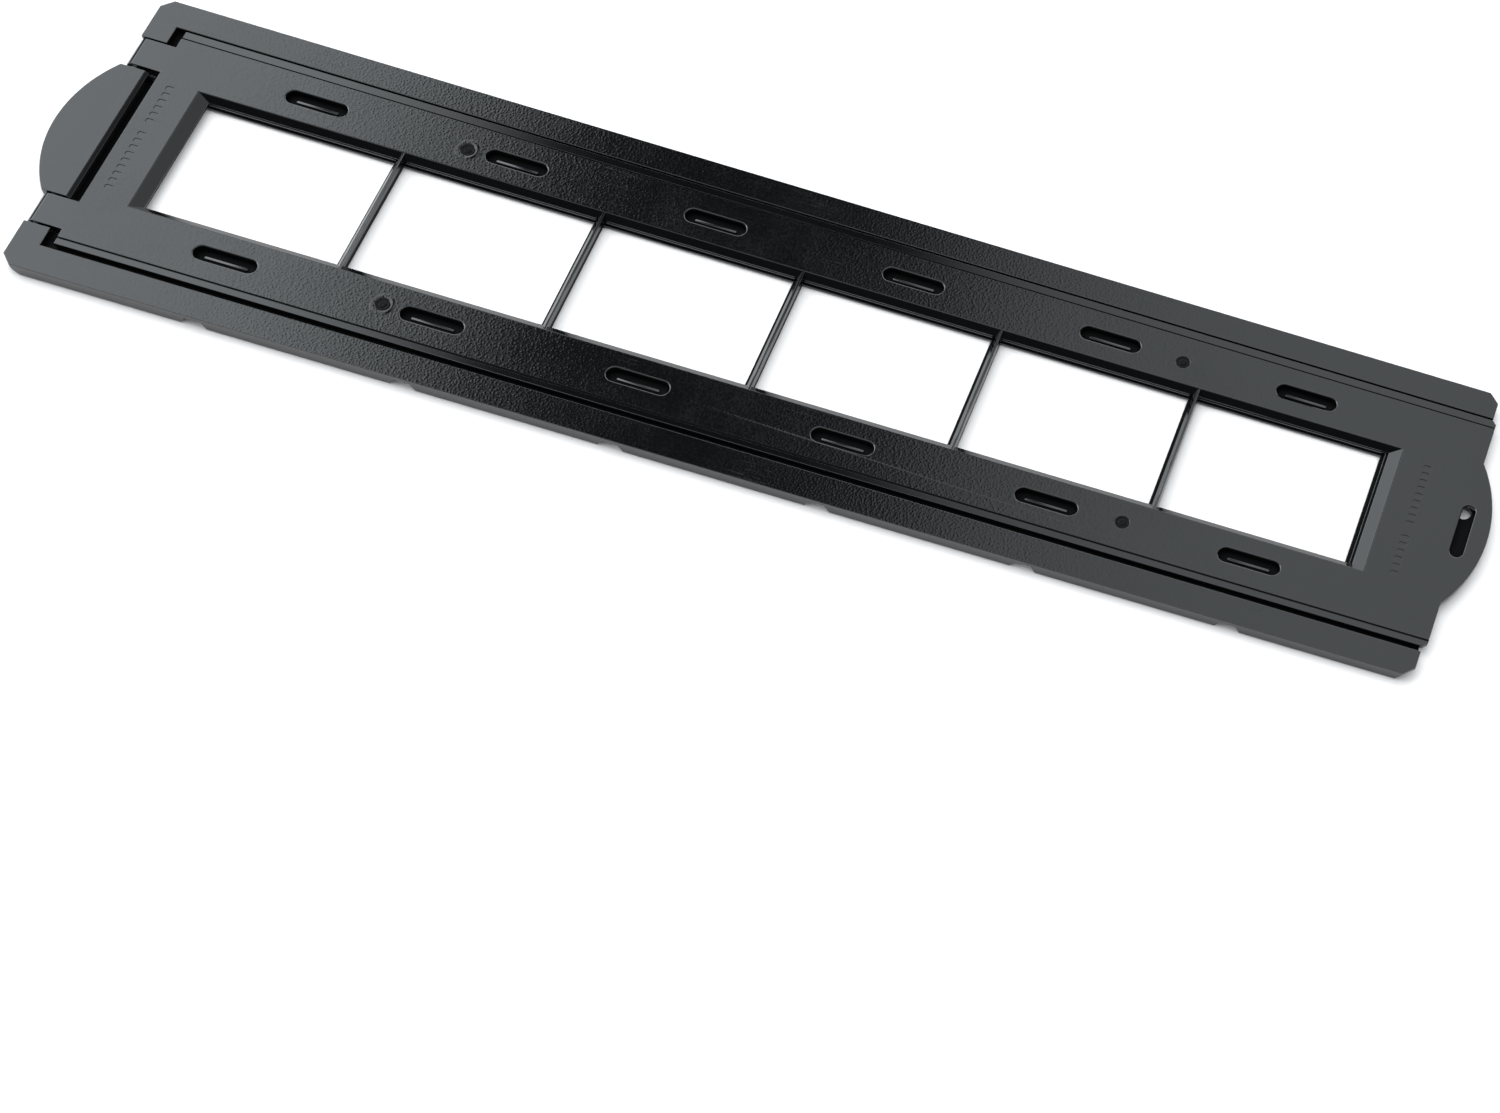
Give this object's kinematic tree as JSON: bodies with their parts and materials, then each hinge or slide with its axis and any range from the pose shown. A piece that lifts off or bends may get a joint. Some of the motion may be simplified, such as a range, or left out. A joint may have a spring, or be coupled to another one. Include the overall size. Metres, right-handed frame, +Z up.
{
  "type": "negative carrier",
  "caption": "Long flat hinged holder for a strip of 35 mm film: a windowed tray between two side rails, and a thin windowed lid that swings up about short steel pins.",
  "frame": {"origin": "under the centre of the row of six windows, on the plane the two rails stand on, which is also the bottom centre of the whole object", "axes": "+X along the film strip towards the lid's free end, +Y across the strip, +Z up from the tray to the lid"},
  "size_m": [0.2702, 0.0624, 0.0031],
  "materials": {
    "tray_plastic": "semi-gloss black moulded plastic with a fine spark-eroded grain, smooth on the edges and steps",
    "lid_plastic": "semi-gloss black moulded plastic with a fine spark-eroded grain, smooth on the strips, bevels and bars",
    "pin_steel": "drawn steel wire with light lengthwise lines"
  },
  "bodies": {
    "tray": {"film_tray": "tray_plastic", "hinge_pin_far": "pin_steel", "hinge_pin_near": "pin_steel"},
    "lid": {"film_lid": "lid_plastic"}
  },
  "joints": [
    {"name": "lid_hinge", "type": "hinge", "parent": "tray", "child": "lid", "pos_m": [-0.1283, 0, 0.0016], "axis": [0, -1, 0], "range_deg": [0, 145]}
  ]
}
